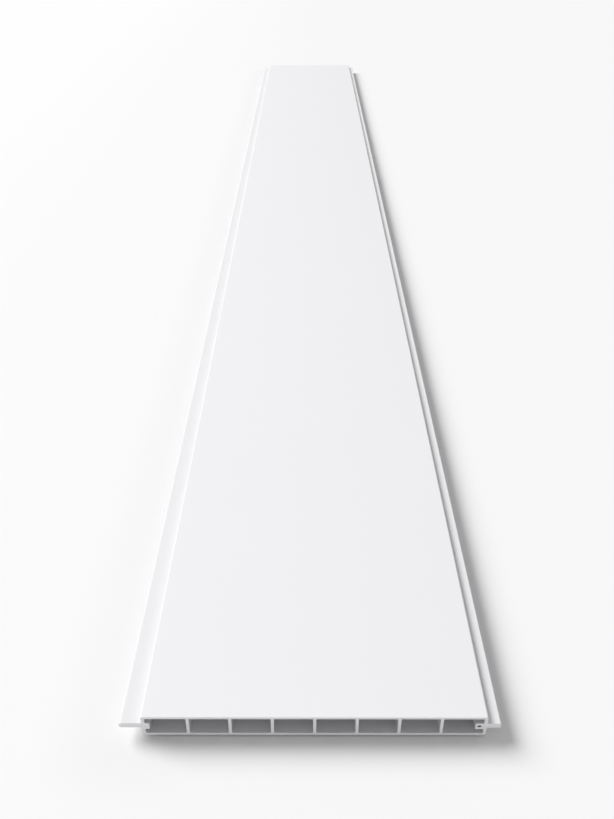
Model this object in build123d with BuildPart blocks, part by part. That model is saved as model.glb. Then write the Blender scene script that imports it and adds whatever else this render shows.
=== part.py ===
# A hollow plastic ceiling panel: one extruded length, with a smooth face, a plain back and a row
# of cells between them. A long tongue stands out of its left side and a short lip out of its right.
# It lies on its back with the face up. The section is drawn as the near end shows it, in XZ, and
# runs along Y. The origin is at the centre of the back. All sizes are in mm.

import os

from build123d import *

# The panel as a whole
panel_length = 2400.0
face_width = 250.0  # between the outer faces of the two side walls
panel_depth = 20.0

# The hollow body
face_skin = 2.0
back_skin = 2.2
tongue_side_wall = 2.7
lip_side_wall = 2.4
web_thickness = 2.2
web_count = 7
tongue_end_bay = 33.6  # from a side wall's outer face to the middle of the nearest web
lip_end_bay = 32.8
outer_radius = 1.2
cell_radius = 0.8

# From mid-depth up to the line that the tongue, the lip and both stubs share as their top
joint_rise = 3.2

# The tongue, with a full round nose
tongue_reach = 16.3
tongue_thickness = 4.6

# The lip, whose underside rises towards its tip
lip_reach = 9.9
lip_root_thickness = 4.9
lip_tip_thickness = 4.4
lip_tip_radius = 0.9

# The stubs inside the end cells, behind the tongue and behind the lip
tongue_stub_reach = 3.3
tongue_stub_depth = 6.4
lip_stub_reach = 6.1
lip_stub_depth = 6.3
stub_radius = 0.6

# The closed pocket that runs through the lip's stub
pocket_width = 3.2
pocket_height = 2.0
pocket_end_wall = 1.3

# Small rounds in the corners where the tongue, the lip and the stubs leave the side walls
root_radius = 0.7

# Stations across the width
tongue_side = -face_width / 2
lip_side = face_width / 2
tongue_tip = tongue_side - tongue_reach
tongue_nose_start = tongue_tip + tongue_thickness / 2
lip_tip = lip_side + lip_reach
first_web = tongue_side + tongue_end_bay
web_pitch = (face_width - tongue_end_bay - lip_end_bay) / (web_count - 1)
last_web = first_web + (web_count - 1) * web_pitch
tongue_stub_end = tongue_side + tongue_side_wall + tongue_stub_reach
lip_stub_end = lip_side - lip_side_wall - lip_stub_reach

# Levels above the back
cell_floor = back_skin
cell_roof = panel_depth - face_skin
joint_level = panel_depth / 2 + joint_rise
tongue_underside = joint_level - tongue_thickness

# Half of the band in which a corner counts as lying on a named station or level
near = 0.01


def corners_on(section, axis, place):
    """The section's corners that lie on one station (Axis.X) or one level (Axis.Y)."""
    return section.vertices().filter_by_position(axis, place - near, place + near)


def draw_outline():
    """The outside of the section: the body with its tongue and lip."""
    with BuildLine() as outline:
        round_the_body = Polyline(
            (tongue_nose_start, tongue_underside),
            (tongue_side, tongue_underside),
            (tongue_side, 0),
            (lip_side, 0),
            (lip_side, joint_level - lip_root_thickness),
            (lip_tip, joint_level - lip_tip_thickness),
            (lip_tip, joint_level),
            (lip_side, joint_level),
            (lip_side, panel_depth),
            (tongue_side, panel_depth),
            (tongue_side, joint_level),
            (tongue_nose_start, joint_level),
        )
        nose_point = (tongue_tip, joint_level - tongue_thickness / 2)
        ThreePointArc(round_the_body @ 1, nose_point, round_the_body @ 0)
    make_face(outline.edges())


def cut_middle_cells():
    """The plain cells between neighbouring webs."""
    for cell in range(web_count - 1):
        middle_of_cell = first_web + (cell + 0.5) * web_pitch
        with Locations((middle_of_cell, cell_floor)):
            Rectangle(
                web_pitch - web_thickness,
                cell_roof - cell_floor,
                align=(Align.CENTER, Align.MIN),
                mode=Mode.SUBTRACT,
            )


def cut_end_cell(wall_face, web_face, stub_end, stub_depth):
    """The cell between a side wall and its nearest web, round the stub that stands on the wall."""
    with BuildLine() as cell:
        Polyline(
            (web_face, cell_floor),
            (web_face, cell_roof),
            (wall_face, cell_roof),
            (wall_face, joint_level),
            (stub_end, joint_level),
            (stub_end, joint_level - stub_depth),
            (wall_face, joint_level - stub_depth),
            (wall_face, cell_floor),
            close=True,
        )
    make_face(cell.edges(), mode=Mode.SUBTRACT)


with BuildPart() as ceiling_panel:
    with BuildSketch(Plane.XZ) as section:
        draw_outline()
        cut_middle_cells()
        cut_end_cell(
            tongue_side + tongue_side_wall,
            first_web - web_thickness / 2,
            tongue_stub_end,
            tongue_stub_depth,
        )
        cut_end_cell(
            lip_side - lip_side_wall,
            last_web + web_thickness / 2,
            lip_stub_end,
            lip_stub_depth,
        )

        # Roots of the tongue and the lip, which are the inner two of the four corners on each wall
        tongue_roots = corners_on(section, Axis.X, tongue_side).sort_by(Axis.Y)[1:3]
        lip_roots = corners_on(section, Axis.X, lip_side).sort_by(Axis.Y)[1:3]
        fillet(tongue_roots + lip_roots, root_radius)
        fillet(corners_on(section, Axis.X, lip_tip), lip_tip_radius)

        # Roots and free corners of the two stubs
        for wall_face in (tongue_side + tongue_side_wall, lip_side - lip_side_wall):
            stub_roots = corners_on(section, Axis.X, wall_face).sort_by(Axis.Y)[1:3]
            fillet(stub_roots, root_radius)
        for stub_end in (tongue_stub_end, lip_stub_end):
            fillet(corners_on(section, Axis.X, stub_end), stub_radius)

        # Corners of every cell, then the four outer corners of the body
        fillet(corners_on(section, Axis.Y, cell_floor), cell_radius)
        fillet(corners_on(section, Axis.Y, cell_roof), cell_radius)
        fillet(corners_on(section, Axis.Y, 0), outer_radius)
        fillet(corners_on(section, Axis.Y, panel_depth), outer_radius)

        # The pocket, at mid-depth of the lip's stub
        pocket_middle = lip_stub_end + pocket_end_wall + pocket_width / 2
        with Locations((pocket_middle, joint_level - lip_stub_depth / 2)):
            SlotOverall(pocket_width, pocket_height, mode=Mode.SUBTRACT)
    extrude(amount=panel_length / 2, both=True)

ceiling_panel.part.label = "ceiling_panel"

os.makedirs("parts", exist_ok=True)
export_step(ceiling_panel.part, "parts/ceiling_panel.step")
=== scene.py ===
import math

import bpy
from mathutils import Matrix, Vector, noise


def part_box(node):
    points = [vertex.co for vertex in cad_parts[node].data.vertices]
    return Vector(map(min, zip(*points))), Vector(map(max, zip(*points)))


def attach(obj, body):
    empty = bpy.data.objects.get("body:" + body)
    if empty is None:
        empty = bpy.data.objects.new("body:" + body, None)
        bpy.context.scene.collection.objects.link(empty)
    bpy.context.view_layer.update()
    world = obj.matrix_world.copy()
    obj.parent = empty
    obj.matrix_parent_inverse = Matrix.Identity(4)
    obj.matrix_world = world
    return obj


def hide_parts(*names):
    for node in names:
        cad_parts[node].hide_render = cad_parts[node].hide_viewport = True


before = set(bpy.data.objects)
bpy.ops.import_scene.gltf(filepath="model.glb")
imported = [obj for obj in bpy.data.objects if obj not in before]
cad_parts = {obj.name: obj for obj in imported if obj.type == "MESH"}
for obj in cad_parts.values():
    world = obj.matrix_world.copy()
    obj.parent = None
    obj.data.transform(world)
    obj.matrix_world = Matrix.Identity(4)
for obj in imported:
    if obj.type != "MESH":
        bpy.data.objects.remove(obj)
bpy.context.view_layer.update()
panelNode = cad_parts["ceiling_panel"]
lowCorner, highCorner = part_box("ceiling_panel")
panelWidth = highCorner.x - lowCorner.x      # with the tongue and the lip
panelLength = highCorner.y - lowCorner.y
panelDepth = highCorner.z - lowCorner.z
print("frame loaded, panel length", round(panelLength, 3), "m")


# Camera: where the photograph was taken from, measured from the panel's near end

camera = {
    "photoLongSide": 819,      # pixels of the photograph's longer side
    "focalLength": 817.7,      # in the same pixels
    "sensorLongSide": 36.0,    # mm
    "aside": -0.0048,          # m from the middle of the face, towards the lip side
    "beforeNearEnd": 0.3694,   # m
    "aboveFace": 0.5048,       # m
    "tiltDown": 33.16,         # degrees
    "turn": 0.06,              # degrees, counter-clockwise from above
    "nearest": 0.01,           # m, nothing nearer is drawn
    "farthest": 200,           # m, and nothing beyond
}


def makeCamera():
    lens = bpy.data.cameras.new("camera")
    lens.sensor_width = camera["sensorLongSide"]
    lens.lens = camera["focalLength"] * camera["sensorLongSide"] / camera["photoLongSide"]
    lens.clip_start = camera["nearest"]
    lens.clip_end = camera["farthest"]
    view = bpy.data.objects.new("camera", lens)
    view.location = (
        camera["aside"],
        lowCorner.y - camera["beforeNearEnd"],
        highCorner.z + camera["aboveFace"],
    )
    view.rotation_euler = (
        math.radians(90 - camera["tiltDown"]),
        0,
        math.radians(camera["turn"]),
    )
    bpy.context.scene.collection.objects.link(view)
    bpy.context.scene.camera = view


# Node helpers: column and row only say where a node stands in the node editor

def addNode(tree, kind, column, row=0, **settings):
    made = tree.nodes.new(kind)
    made.location = (column * 220, -row * 200)
    for name, value in settings.items():
        setattr(made, name, value)
    return made


def fill(shaderNode, **values):
    # sockets by their shown name, with _ for a space
    for name, value in values.items():
        shaderNode.inputs[name.replace("_", " ")].default_value = value


def addMath(tree, operation, column, row, first, second=None):
    made = addNode(tree, "ShaderNodeMath", column, row, operation=operation)
    for socket, value in zip(made.inputs, (first, second)):
        if value is None:
            continue
        if isinstance(value, (int, float)):
            socket.default_value = value
        else:
            tree.links.new(value, socket)
    return made.outputs[0]


def addMapRange(tree, column, row, value, source, target, course="LINEAR"):
    made = addNode(tree, "ShaderNodeMapRange", column, row, interpolation_type=course)
    fill(made, From_Min=source[0], From_Max=source[1], To_Min=target[0], To_Max=target[1])
    tree.links.new(value, made.inputs["Value"])
    return made.outputs["Result"]


def addObjectPlace(tree, column, row):
    return addNode(tree, "ShaderNodeTexCoord", column, row).outputs["Object"]


def addParts(tree, column, row, vector):
    # the vector's three numbers, as X, Y and Z
    made = addNode(tree, "ShaderNodeSeparateXYZ", column, row)
    tree.links.new(vector, made.inputs[0])
    return made.outputs


def newGroup(name, inputs, outputs):
    group = bpy.data.node_groups.new(name, "ShaderNodeTree")
    for side, sockets in (("INPUT", inputs), ("OUTPUT", outputs)):
        for socketName, kind in sockets.items():
            group.interface.new_socket(socketName, in_out=side, socket_type="NodeSocket" + kind)
    entry = addNode(group, "NodeGroupInput", -4)
    leave = addNode(group, "NodeGroupOutput", 4)
    return group, entry, leave


def placeGroup(tree, group, column, row=0, **values):
    made = addNode(tree, "ShaderNodeGroup", column, row, node_tree=group)
    fill(made, **values)
    return made


def newMaterial(name):
    material = bpy.data.materials.new(name)
    material.use_nodes = True
    tree = material.node_tree
    tree.nodes.clear()
    shader = addNode(tree, "ShaderNodeBsdfPrincipled", 3)
    output = addNode(tree, "ShaderNodeOutputMaterial", 5)
    tree.links.new(shader.outputs["BSDF"], output.inputs["Surface"])
    return material, tree, shader


# Effects that the plastic's finishes share

dieMarks = {
    "noiseDetail": 3.0,
    "noiseRoughness": 0.55,
    "streakFrom": 0.52,        # height of a line from which it begins to be a dull streak
    "streakTo": 0.72,          # and from which it is one
}


def makeDieLines():
    # fine lines that the die leaves along the length: they change across the section
    # and hold for a long way along it
    group, entry, leave = newGroup(
        "dieLines",
        {"Line Width": "Float", "Run": "Float"},
        {"Height": "Float", "Streak": "Float"},
    )
    place = addObjectPlace(group, -4, 2)
    acrossScale = addMath(group, "DIVIDE", -3, 0, 1.0, entry.outputs["Line Width"])
    alongScale = addMath(group, "DIVIDE", -3, 1, 1.0, entry.outputs["Run"])
    scale = addNode(group, "ShaderNodeCombineXYZ", -2)
    group.links.new(acrossScale, scale.inputs["X"])
    group.links.new(alongScale, scale.inputs["Y"])
    group.links.new(acrossScale, scale.inputs["Z"])
    stretch = addNode(group, "ShaderNodeVectorMath", -1, operation="MULTIPLY")
    group.links.new(place, stretch.inputs[0])
    group.links.new(scale.outputs[0], stretch.inputs[1])
    lines = addNode(group, "ShaderNodeTexNoise", 0)
    fill(lines, Scale=1.0, Detail=dieMarks["noiseDetail"], Roughness=dieMarks["noiseRoughness"])
    group.links.new(stretch.outputs[0], lines.inputs["Vector"])
    height = lines.outputs["Fac"]
    streakBand = (dieMarks["streakFrom"], dieMarks["streakTo"])
    streak = addMapRange(group, 2, 1, height, streakBand, (0, 1), "SMOOTHSTEP")
    group.links.new(height, leave.inputs["Height"])
    group.links.new(streak, leave.inputs["Streak"])
    return group


plasticClouds = {
    "noiseDetail": 2.0,
    "noiseRoughness": 0.5,
}


def makePlasticTone():
    # slow cloudy change of a colour over the surface
    group, entry, leave = newGroup(
        "plasticTone",
        {"Colour": "Color", "Change": "Float", "Cloud Size": "Float"},
        {"Colour": "Color"},
    )
    place = addObjectPlace(group, -4, 2)
    scale = addMath(group, "DIVIDE", -3, 0, 1.0, entry.outputs["Cloud Size"])
    clouds = addNode(group, "ShaderNodeTexNoise", -1)
    fill(clouds, Detail=plasticClouds["noiseDetail"], Roughness=plasticClouds["noiseRoughness"])
    group.links.new(place, clouds.inputs["Vector"])
    group.links.new(scale, clouds.inputs["Scale"])
    centred = addMath(group, "SUBTRACT", 0, 0, clouds.outputs["Fac"], 0.5)
    share = addMath(group, "MULTIPLY", 1, 0, centred, entry.outputs["Change"])
    gain = addMath(group, "ADD", 2, 0, share, 1.0)
    tint = addNode(group, "ShaderNodeVectorMath", 3, operation="SCALE")
    group.links.new(entry.outputs["Colour"], tint.inputs[0])
    group.links.new(gain, tint.inputs["Scale"])
    group.links.new(tint.outputs[0], leave.inputs["Colour"])
    return group


sawBlade = {
    "radius": 0.125,           # m
    "height": 0.06,            # m from the panel's back to the blade's middle
    "toothSpacing": 0.0012,    # m between the arcs that its teeth leave
    "toothDepth": 0.000012,    # m
    "wander": 2.5,             # how far the arcs stray from even ones
    "wanderDetail": 2.0,
    "wanderScale": 0.4,
}


def makeSawMarks():
    # arcs that a saw's teeth leave on a cut end while the blade is fed across the panel
    group, entry, leave = newGroup(
        "sawMarks",
        {"Blade Radius": "Float", "Blade Height": "Float", "Tooth Spacing": "Float"},
        {"Height": "Float"},
    )
    axes = addParts(group, -3, 2, addObjectPlace(group, -4, 2))
    fromBlade = addMath(group, "SUBTRACT", -2, 2, axes["Z"], entry.outputs["Blade Height"])
    squared = addMath(group, "MULTIPLY", -1, 2, fromBlade, fromBlade)
    wholeBlade = addMath(group, "MULTIPLY", -2, 1, entry.outputs["Blade Radius"], 2.0)
    bow = addMath(group, "DIVIDE", 0, 2, squared, wholeBlade)
    across = addMath(group, "ADD", 1, 2, axes["X"], bow)
    inTeeth = addMath(group, "DIVIDE", 2, 2, across, entry.outputs["Tooth Spacing"])
    row = addNode(group, "ShaderNodeCombineXYZ", 3, 2)
    group.links.new(inTeeth, row.inputs["X"])
    group.links.new(axes["Y"], row.inputs["Y"])
    arcs = addNode(
        group, "ShaderNodeTexWave", 3, 0, wave_type="BANDS", bands_direction="X", wave_profile="SIN"
    )
    waveRepeat = 2 * math.pi / 20    # of this node at a scale of 1, so one tooth takes one repeat
    fill(arcs, Scale=waveRepeat, Distortion=sawBlade["wander"])
    fill(arcs, Detail=sawBlade["wanderDetail"], Detail_Scale=sawBlade["wanderScale"])
    group.links.new(row.outputs[0], arcs.inputs["Vector"])
    group.links.new(arcs.outputs["Fac"], leave.inputs["Height"])
    return group


# Finishes, with sizes in m

plasticRefraction = 1.53

facePlastic = {
    "colour": (0.852, 0.852, 0.868, 1),
    "specularLevel": 0.3,
    "cloudChange": 0.012,      # share by which the colour changes from cloud to cloud
    "cloudSize": 0.12,
    "lineWidth": 0.0016,
    "lineRun": 0.9,
    "lineDepth": 0.000004,
    "webDepth": 0.00003,       # that the face is drawn in over each web
    "webReach": 0.004,         # to each side of a web's middle
    "roughnessLow": 0.36,
    "roughnessHigh": 0.44,
}

# the tongue, the lip, the sides and the back, which come from the die without the face's polish, so
# they are rougher and less glossy; their darker colour is painted shade that holds down the light the
# panel's side throws on the tongue and the floor
edgeShadedPlastic = {
    "colour": (0.806, 0.806, 0.821, 1),
    "specularLevel": 0.12,
    "cloudChange": 0.02,
    "cloudSize": 0.12,
    "lineWidth": 0.0012,
    "lineRun": 0.5,
    "lineDepth": 0.000008,
    "roughnessLow": 0.46,
    "roughnessHigh": 0.56,
}

# painted shade: the cells' plastic is given a darker colour than the face, standing for the shade
# inside the hollows
cellShadedPlastic = {
    "colour": (0.74, 0.74, 0.755, 1),
    "specularLevel": 0.3,
    "cloudChange": 0.02,
    "cloudSize": 0.12,
    "lineWidth": 0.0011,
    "lineRun": 0.35,
    "lineDepth": 0.00001,
    "roughnessLow": 0.48,
    "roughnessHigh": 0.6,
}

# the small slot inside the lip's root: painted shade, a much darker colour standing for the little
# light that reaches into it
slotShadedPlastic = {**cellShadedPlastic, "colour": (0.42, 0.42, 0.43, 1)}

# the sawn ends: partly the whiter look of sawn plastic, partly painted light, a colour lifted above
# the face's on ends that face away from the lamp
cutLiftedPlastic = {
    "colour": (0.92, 0.92, 0.93, 1),
    "specularLevel": 0.3,
    "cloudChange": 0.03,
    "cloudSize": 0.01,
    "roughnessLow": 0.55,
    "roughnessHigh": 0.7,
}


def newPlastic(name, finish, plasticTone):
    material, tree, shader = newMaterial(name)
    fill(shader, IOR=plasticRefraction, Specular_IOR_Level=finish["specularLevel"])
    tone = placeGroup(
        tree, plasticTone, 0, 0,
        Colour=finish["colour"], Change=finish["cloudChange"], Cloud_Size=finish["cloudSize"],
    )
    tree.links.new(tone.outputs["Colour"], shader.inputs["Base Color"])
    return material, tree, shader


def addRoughness(tree, shader, mask, finish):
    lowToHigh = (finish["roughnessLow"], finish["roughnessHigh"])
    tree.links.new(addMapRange(tree, 1, 1, mask, (0, 1), lowToHigh), shader.inputs["Roughness"])


def addBump(tree, shader, height, distance, column, row, below=None):
    bump = addNode(tree, "ShaderNodeBump", column, row)
    fill(bump, Strength=1.0, Distance=distance)
    tree.links.new(height, bump.inputs["Height"])
    if below is not None:
        tree.links.new(below.outputs["Normal"], bump.inputs["Normal"])
    tree.links.new(bump.outputs["Normal"], shader.inputs["Normal"])
    return bump


def addWebLines(tree, webs, reach):
    # height of a skin that is drawn in over its webs: 0 on a web's middle, 1 beyond its reach
    axes = addParts(tree, -4, 4, addObjectPlace(tree, -5, 4))
    fromFirst = addMath(tree, "SUBTRACT", -3, 4, axes["X"], webs["first"])
    offWeb = addMath(tree, "PINGPONG", -2, 4, fromFirst, webs["pitch"] / 2)
    return addMapRange(tree, -1, 4, offWeb, (0, reach), (0, 1), "SMOOTHERSTEP")


def makeDrawnPlastic(name, finish, dieLines, plasticTone, webs=None):
    # plastic as it leaves the die, with its lines along the length
    material, tree, shader = newPlastic(name, finish, plasticTone)
    lines = placeGroup(tree, dieLines, 0, 2, Line_Width=finish["lineWidth"], Run=finish["lineRun"])
    addRoughness(tree, shader, lines.outputs["Streak"], finish)
    overLines = addBump(tree, shader, lines.outputs["Height"], finish["lineDepth"], 2, 3)
    if webs is not None:
        height = addWebLines(tree, webs, finish["webReach"])
        addBump(tree, shader, height, finish["webDepth"], 3, 4, below=overLines)
    return material


def makeCutPlastic(name, finish, sawMarks, plasticTone):
    material, tree, shader = newPlastic(name, finish, plasticTone)
    marks = placeGroup(
        tree, sawMarks, 0, 2,
        Blade_Radius=sawBlade["radius"], Blade_Height=sawBlade["height"],
        Tooth_Spacing=sawBlade["toothSpacing"],
    )
    addRoughness(tree, shader, marks.outputs["Height"], finish)
    addBump(tree, shader, marks.outputs["Height"], sawBlade["toothDepth"], 2, 3)
    return material


def makeFinishes(webs):
    # one for each part of the surface
    dieLines = makeDieLines()
    plasticTone = makePlasticTone()
    return {
        "face": makeDrawnPlastic("facePlastic", facePlastic, dieLines, plasticTone, webs),
        "edges": makeDrawnPlastic("edgeShadedPlastic", edgeShadedPlastic, dieLines, plasticTone),
        "cells": makeDrawnPlastic("cellShadedPlastic", cellShadedPlastic, dieLines, plasticTone),
        "slot": makeDrawnPlastic("slotShadedPlastic", slotShadedPlastic, dieLines, plasticTone),
        "cuts": makeCutPlastic("cutLiftedPlastic", cutLiftedPlastic, makeSawMarks(), plasticTone),
    }


# The panel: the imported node's section carried along its length, with the cut edges eased

panel = {
    "edgeRound": 0.00012,      # m taken off each cut edge
    "edgeSteps": 3,
    "lengthSteps": 12,
    "edgeUneven": 0.3,         # share by which the easing varies
    "edgeUnevenSize": 0.004,   # m
    "edgeUnevenSlice": 0.5,    # another number gives another pattern
    "faceCorner": 0.0012,      # m down from the face that its polish runs, round the corners
    "slotHeight": 0.004,       # m, up to which a hollow counts as the slot
    "sameDigits": 6,           # decimals of a metre to which two points of the node are the same
}


def readCutEnd(mesh):
    # the near end: how its outlines face at each point, which points lie beside which,
    # and the triangles that close it
    digits = panel["sameDigits"]
    nearY = min(v.co.y for v in mesh.vertices)
    onEnd = [abs(v.co.y - nearY) < 10 ** -digits for v in mesh.vertices]
    spots = [(round(v.co.x, digits), round(v.co.z, digits)) for v in mesh.vertices]
    facing, beside, triangles = {}, {}, []
    for face in mesh.polygons:
        corners = list(face.vertices)
        if all(onEnd[v] for v in corners):
            triangles.append([spots[v] for v in corners])
            continue
        for loopIndex, v in zip(face.loop_indices, corners):
            if onEnd[v]:
                normal = mesh.corner_normals[loopIndex].vector
                outward = Vector((normal.x, normal.z))
                facing[spots[v]] = facing.get(spots[v], Vector((0, 0))) + outward
        for a, b in zip(corners, corners[1:] + corners[:1]):
            if onEnd[a] and onEnd[b] and spots[a] != spots[b]:
                beside.setdefault(spots[a], set()).add(spots[b])
                beside.setdefault(spots[b], set()).add(spots[a])
    return facing, beside, triangles


def walkOutlines(beside):
    # the closed outlines, each as its points in a row
    waiting, outlines = set(beside), []
    while waiting:
        start = min(waiting)
        outline, last, here = [start], None, start
        while True:
            ahead = sorted(p for p in beside[here] if p != last)
            last, here = here, ahead[0]
            if here == start:
                break
            outline.append(here)
        waiting -= set(outline)
        outlines.append(outline)
    return outlines


def signedArea(outline):
    pairs = zip(outline, outline[1:] + outline[:1])
    return sum(a[0] * b[1] - b[0] * a[1] for a, b in pairs) / 2


def readSection(mesh):
    # the outlines run so that the plastic lies on the same side of all of them
    facing, beside, triangles = readCutEnd(mesh)
    outlines = walkOutlines(beside)
    outer = max(outlines, key=lambda outline: abs(signedArea(outline)))
    for outline in outlines:
        if (signedArea(outline) > 0) != (outline is outer):
            outline.reverse()
    return {"outlines": outlines, "outer": outer, "facing": facing, "triangles": triangles}


def findWebs(section):
    # the middles of the webs, between the sides of neighbouring cells
    cells = []
    for outline in section["outlines"]:
        heights = [z for x, z in outline]
        if outline is not section["outer"] and max(heights) - min(heights) > panelDepth / 2:
            cells.append((min(x for x, z in outline), max(x for x, z in outline)))
    cells.sort()
    middles = [(a[1] + b[0]) / 2 for a, b in zip(cells, cells[1:])]
    return {"first": middles[0], "pitch": (middles[-1] - middles[0]) / (len(middles) - 1)}


def edgeRoundAt(x, z):
    wobble = noise.noise(Vector((x, z, panel["edgeUnevenSlice"])) / panel["edgeUnevenSize"])
    return panel["edgeRound"] * (1 + panel["edgeUneven"] * wobble)


def stationsAlong():
    # the rings of the mesh along the length: share of the length, then, in edge rounds, how far
    # from there towards the middle and how far drawn in, and how much the ring faces along
    nearEdge = []
    for i in range(panel["edgeSteps"], -1, -1):
        turn = math.pi / 2 * i / panel["edgeSteps"]
        inset, drawnIn = 1 - math.sin(turn), 1 - math.cos(turn)
        nearEdge.append({"share": 0, "inset": inset, "drawnIn": drawnIn, "along": -math.sin(turn)})
    middle = [
        {"share": i / panel["lengthSteps"], "inset": 0, "drawnIn": 0, "along": 0}
        for i in range(1, panel["lengthSteps"])
    ]
    farEdge = [
        {**ring, "share": 1, "inset": -ring["inset"], "along": -ring["along"]}
        for ring in reversed(nearEdge)
    ]
    return nearEdge + middle + farEdge


def finishBeside(outline, index, isOuter):
    # the finish of the side between a point of an outline and the next one
    heights = [z for x, z in outline]
    if not isOuter:
        return "cells" if max(heights) - min(heights) > panel["slotHeight"] else "slot"
    lowest = min(heights[index], heights[(index + 1) % len(heights)])
    return "face" if lowest > highCorner.z - panel["faceCorner"] else "edges"


# The surface's map: the two cut ends lie across it, one above the other, and the strips stand on them

bakeMap = {
    "stripGap": 0.006,         # m between the strips, one for each outline
    "hollowShare": 0.35,       # share of its real width that a hollow's strip gets
    "easedShare": 0.004,       # share of a strip's height for each eased edge
    "margin": 0.004,           # share kept free round the map and between its parts
}
endScale = (1 - 2 * bakeMap["margin"]) / panelWidth
endRise = panelDepth * endScale + 2 * bakeMap["margin"]


def spreadStrips(section):
    # the place across the map of each point of each outline, and of the point that closes it
    walks, start = [], 0.0
    for outline in section["outlines"]:
        share = 1 if outline is section["outer"] else bakeMap["hollowShare"]
        walk = [start]
        for a, b in zip(outline, outline[1:] + outline[:1]):
            walk.append(walk[-1] + math.dist(a, b) * share)
        walks.append(walk)
        start = walk[-1] + bakeMap["stripGap"]
    free, last = bakeMap["margin"], walks[-1][-1]
    return [[free + (1 - 2 * free) * place / last for place in walk] for walk in walks]


def climbStrip(stations):
    # the height on the map of each station along the length
    low, high = bakeMap["margin"] + 2 * endRise, 1 - bakeMap["margin"]
    eased, steps, last = bakeMap["easedShare"], panel["edgeSteps"], len(stations) - 1
    heights = []
    for ring, station in enumerate(stations):
        near, far = min(ring, steps) / steps, min(last - ring, steps) / steps
        place = eased * near + (1 - 2 * eased) * station["share"] + eased * (1 - far)
        heights.append(low + (high - low) * place)
    return heights


def placeOnEnd(isFar, x, z):
    across = bakeMap["margin"] + (x - lowCorner.x) * endScale
    up = bakeMap["margin"] + (z - lowCorner.z) * endScale
    return across, up + endRise * isFar


# The panel's mesh

def addStrip(shape, section, outline, stations, walk, heights):
    # one outline carried along the length
    isOuter = outline is section["outer"]
    count, base, last = len(outline), len(shape["points"]), len(stations) - 1
    for ring, station in enumerate(stations):
        drawnIn, along = station["drawnIn"], station["along"]
        flat = math.sqrt(max(0.0, 1 - along * along))
        for index, (x, z) in enumerate(outline):
            out = section["facing"][(x, z)].normalized()
            cut = edgeRoundAt(x, z)
            y = lowCorner.y + station["share"] * panelLength + station["inset"] * cut
            shape["points"].append((x - out.x * cut * drawnIn, y, z - out.y * cut * drawnIn))
            shape["normals"].append((out.x * flat, along, out.y * flat))
            if ring in (0, last):
                shape["endPoint"][(ring > 0, x, z)] = base + ring * count + index
    for ring in range(last):
        isEased = ring < panel["edgeSteps"] or ring >= last - panel["edgeSteps"]
        below, above = heights[ring:ring + 2]
        for index in range(count):
            a = base + ring * count + index
            b = base + ring * count + (index + 1) % count
            left, right = walk[index:index + 2]
            shape["faces"].append((a, a + count, b + count, b))
            shape["finishes"].append("cuts" if isEased else finishBeside(outline, index, isOuter))
            shape["onMap"] += [(left, below), (left, above), (right, above), (right, below)]


def addEnds(shape, triangles):
    for triangle in triangles:
        near = [(False, *spot) for spot in triangle]
        far = [(True, *spot) for spot in reversed(triangle)]
        for corners in (near, far):
            shape["faces"].append(tuple(shape["endPoint"][corner] for corner in corners))
            shape["finishes"].append("cuts")
            shape["onMap"] += [placeOnEnd(*corner) for corner in corners]


def makePanel(section, finishes):
    stations = stationsAlong()
    heights = climbStrip(stations)
    shape = {"points": [], "normals": [], "endPoint": {}, "faces": [], "finishes": [], "onMap": []}
    for outline, walk in zip(section["outlines"], spreadStrips(section)):
        addStrip(shape, section, outline, stations, walk, heights)
    addEnds(shape, section["triangles"])

    made = bpy.data.meshes.new("hollowPanel")
    made.from_pydata(shape["points"], [], shape["faces"])
    for finish in finishes.values():
        made.materials.append(finish)
    slots = list(finishes)
    made.polygons.foreach_set("material_index", [slots.index(name) for name in shape["finishes"]])
    uv = made.uv_layers.new(name="OFBake")
    uv.data.foreach_set("uv", [number for place in shape["onMap"] for number in place])
    made.shade_smooth()
    made.normals_split_custom_set_from_vertices(shape["normals"])
    made.validate()
    made.update()
    piece = bpy.data.objects.new("hollowPanel", made)
    bpy.context.scene.collection.objects.link(piece)
    print("panel made:", len(section["outlines"]), "outlines,", len(shape["faces"]), "faces")
    return piece


# Floor and light

studio = {
    "floorSize": 60.0,         # m
    "floorLeft": 0.985,        # grey of the floor to the left of the panel, on the lamp's side: brighter as painted light
    "leftAt": -0.8,            # m from the panel's middle, from where on it has that grey
    "floorRight": 0.931,       # grey to the right, with an even change between the two: a painted falloff of light
    "rightAt": 0.05,
    "tongueShadeDip": 0.045,     # painted shade taken off beside the tongue, to cancel the light that the panel's side throws on the floor
    "besideReach": 0.07,       # m
    "floorFar": 0.949,         # grey of the floor far from the panel, the same all round
    "farFrom": 3.6,            # m from the panel's middle
    "farTo": 7.0,
    "floorDrop": 0.0022,       # m that the floor lies under the panel's back
    "roomLight": 0.4,
    "glossWhite": 0.98,        # what gloss sees of the room on the side of the lamp
    "glossGrey": 0.52,         # and away from it
    "seenWhite": 0.956,        # what the camera sees past the floor
}

# One lamp lights the panel alone and one the floor alone: in the photograph the shadow beside
# the panel is longer than the one that its face throws on the lip would give.
panelLamp = {
    "standsAt": (-15, 12, 20), # the way to it from the panel
    "spread": 28.0,            # degrees across
    "strength": 2.75,
}

floorLamp = {
    "standsAt": (-22.6, 13.4, 20),
    "spread": 34.0,
    "strength": 3.15,
}


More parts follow.
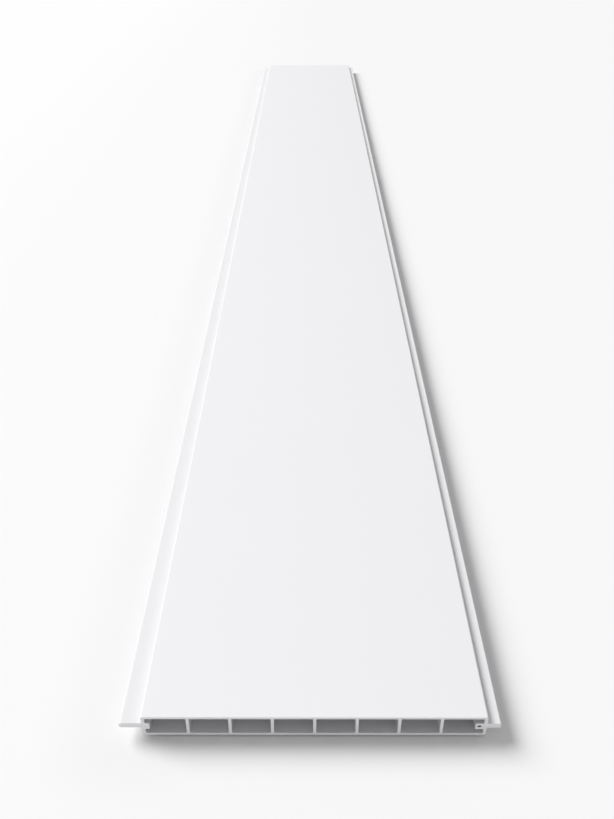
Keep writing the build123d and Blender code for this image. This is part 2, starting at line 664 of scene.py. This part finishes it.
def addFloorGrey(tree):
    place = addObjectPlace(tree, -5, 0)
    axes = addParts(tree, -4, 0, place)
    # painted light: the floor's grey falls off from the lamp's side on the left towards the right
    paintedFalloffGrey = addMapRange(
        tree, -2, 0, axes["X"],
        (studio["leftAt"], studio["rightAt"]), (studio["floorLeft"], studio["floorRight"]),
    )

    # painted shade: a soft dip along the tongue, as long as the panel
    reach = studio["besideReach"]
    fromTongue = addMath(tree, "SUBTRACT", -3, 1, axes["X"], lowCorner.x)
    offTongue = addMath(tree, "ABSOLUTE", -2, 1, fromTongue)
    nearTongue = addMapRange(tree, -1, 1, offTongue, (0, reach), (1, 0), "SMOOTHSTEP")
    offMiddle = addMath(tree, "ABSOLUTE", -2, 2, axes["Y"])
    pastEnd = (highCorner.y, highCorner.y + reach)
    alongPanel = addMapRange(tree, -1, 2, offMiddle, pastEnd, (1, 0), "SMOOTHSTEP")
    dip = addMath(tree, "MULTIPLY", 0, 1, nearTongue, alongPanel)
    takenOff = addMath(tree, "MULTIPLY", 1, 1, dip, studio["tongueShadeDip"])
    dippedGrey = addMath(tree, "SUBTRACT", 2, 0, paintedFalloffGrey, takenOff)

    # far from the panel it runs out into one grey
    offPanel = addNode(tree, "ShaderNodeVectorMath", -4, 3, operation="LENGTH")
    tree.links.new(place, offPanel.inputs[0])
    farBand = (studio["farFrom"], studio["farTo"])
    runOut = addMapRange(tree, -2, 3, offPanel.outputs["Value"], farBand, (0, 1), "SMOOTHSTEP")
    toFar = addMath(tree, "SUBTRACT", 3, 1, studio["floorFar"], dippedGrey)
    change = addMath(tree, "MULTIPLY", 3, 2, toFar, runOut)
    return addMath(tree, "ADD", 3, 3, dippedGrey, change)


def makeFloor():
    half = studio["floorSize"] / 2
    z = lowCorner.z - studio["floorDrop"]
    corners = [(-half, -half, z), (half, -half, z), (half, half, z), (-half, half, z)]
    sheet = bpy.data.meshes.new("floor")
    sheet.from_pydata(corners, [], [(0, 1, 2, 3)])
    material, tree, shader = newMaterial("floorWhite")
    fill(shader, Roughness=1.0, Specular_IOR_Level=0.0)
    tree.links.new(addFloorGrey(tree), shader.inputs["Base Color"])
    sheet.materials.append(material)
    floor = bpy.data.objects.new("floor", sheet)
    bpy.context.scene.collection.objects.link(floor)
    return floor


def makeLamp(name, lamp, lit):
    light = bpy.data.lights.new(name, "SUN")
    light.energy = lamp["strength"]
    light.angle = math.radians(lamp["spread"])
    placed = bpy.data.objects.new(name, light)
    placed.rotation_euler = Vector(lamp["standsAt"]).to_track_quat("Z", "Y").to_euler()
    placed.visible_glossy = False    # gloss sees the room instead, so no side of it clips
    bpy.context.scene.collection.objects.link(placed)
    litByIt = bpy.data.collections.new(name + "Lights")
    litByIt.objects.link(lit)
    placed.light_linking.receiver_collection = litByIt


def makeRoomLight():
    world = bpy.data.worlds.new("studio")
    world.use_nodes = True
    bpy.context.scene.world = world
    tree = world.node_tree
    tree.nodes.clear()
    path = addNode(tree, "ShaderNodeLightPath", 0)
    way = addNode(tree, "ShaderNodeTexCoord", -2, 2)
    towardsLamp = addNode(tree, "ShaderNodeVectorMath", -1, 2, operation="DOT_PRODUCT")
    tree.links.new(way.outputs["Generated"], towardsLamp.inputs[0])
    towardsLamp.inputs[1].default_value = Vector(panelLamp["standsAt"]).normalized()
    gloss = addMapRange(
        tree, 0, 2, towardsLamp.outputs["Value"],
        (0, 1), (studio["glossGrey"], studio["glossWhite"]), "SMOOTHSTEP",
    )
    inGloss = addMath(tree, "MULTIPLY", 1, 0, path.outputs["Is Glossy Ray"], gloss)
    through = addMath(
        tree, "MAXIMUM", 1, 1, path.outputs["Is Camera Ray"], path.outputs["Is Transmission Ray"]
    )
    inView = addMath(tree, "MULTIPLY", 2, 1, through, studio["seenWhite"])
    seen = addMath(tree, "MAXIMUM", 3, 0, inGloss, inView)
    strength = addMath(tree, "MAXIMUM", 3, 1, seen, studio["roomLight"])
    light = addNode(tree, "ShaderNodeBackground", 4)
    tree.links.new(strength, light.inputs["Strength"])
    fill(light, Color=(1, 1, 1, 1))
    output = addNode(tree, "ShaderNodeOutputWorld", 5)
    tree.links.new(light.outputs["Background"], output.inputs["Surface"])


# The scene

bpy.context.scene.view_settings.view_transform = "Standard"
makeCamera()
floor = makeFloor()
print("camera and floor made")

section = readSection(panelNode.data)
finishes = makeFinishes(findWebs(section))
print("finishes made")

piece = makePanel(section, finishes)
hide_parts("ceiling_panel")
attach(piece, "root")

makeLamp("panelLamp", panelLamp, piece)
makeLamp("floorLamp", floorLamp, floor)
makeRoomLight()
print("light made")
